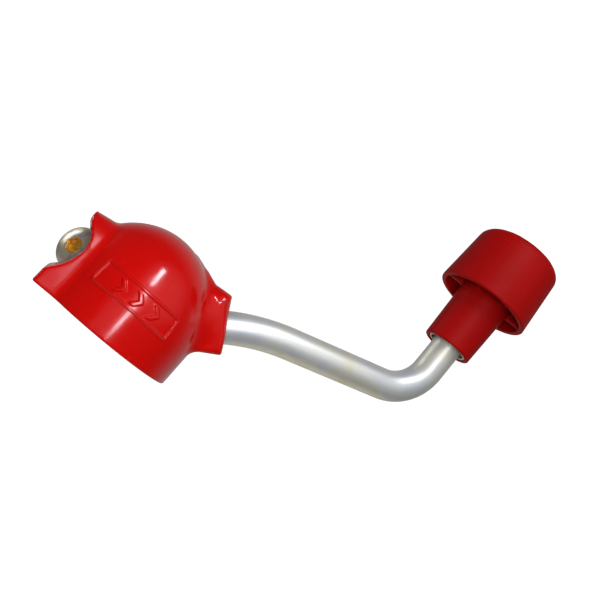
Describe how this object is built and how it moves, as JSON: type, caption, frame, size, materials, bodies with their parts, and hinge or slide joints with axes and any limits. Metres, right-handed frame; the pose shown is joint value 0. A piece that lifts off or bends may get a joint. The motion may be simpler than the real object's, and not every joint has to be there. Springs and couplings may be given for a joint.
{
  "type": "jack crank handle head",
  "caption": "Crank handle head for a screw jack: domed plastic cap over a thrust ball race, bent steel crank rod leaving through a hood, and a spinning plastic knob on its upright end.",
  "frame": {"origin": "centre of the flat lower end of the hub's neck, in the plane of the cap's rim", "axes": "+Z along the turning axis towards the dome, +X along the crank arm"},
  "size_m": [0.1793, 0.0616, 0.1512],
  "materials": {
    "cap_red": "gloss moulded red plastic",
    "knob_red": "satin moulded red plastic",
    "zinc": "zinc-plated steel",
    "steel": "ground steel",
    "dark_steel": "dark plated steel",
    "brass": "pressed brass",
    "nylon": "natural nylon"
  },
  "bodies": {
    "seat": {"bearing_seat": "zinc", "race_lower": "steel"},
    "cage": {"ball_cage": "brass", "bearing_ball_01": "steel", "bearing_ball_02": "steel", "bearing_ball_03": "steel", "bearing_ball_04": "steel", "bearing_ball_05": "steel", "bearing_ball_06": "steel", "bearing_ball_07": "steel", "bearing_ball_08": "steel", "bearing_ball_09": "steel", "bearing_ball_10": "steel"},
    "crank": {"race_upper": "steel", "drive_hub": "zinc", "rod_pin": "steel", "neck_washer": "steel", "neck_clip": "dark_steel", "crank_rod": "zinc", "cap_shell": "cap_red", "cap_screw": "dark_steel", "screw_washer": "steel", "knob_stop_ring": "steel", "knob_washer": "nylon", "knob_push_ring": "steel"},
    "knob": {"knob_body": "knob_red", "knob_sleeve": "zinc", "knob_bush_lower": "nylon", "knob_bush_upper": "nylon", "knob_plug": "knob_red"}
  },
  "joints": [
    {"name": "crank_turn", "type": "hinge", "parent": "seat", "child": "crank", "pos_m": [0, 0, 0], "axis": [0, 0, 1], "continuous": true},
    {"name": "cage_orbit", "type": "hinge", "parent": "seat", "child": "cage", "pos_m": [0, 0, 0], "axis": [0, 0, 1], "continuous": true},
    {"name": "knob_spin", "type": "hinge", "parent": "crank", "child": "knob", "pos_m": [0.1201, 0, 0], "axis": [0, 0, 1], "continuous": true}
  ],
  "couplings": [
    {"joint": "cage_orbit", "follows": "crank_turn", "ratio": 0.5}
  ]
}
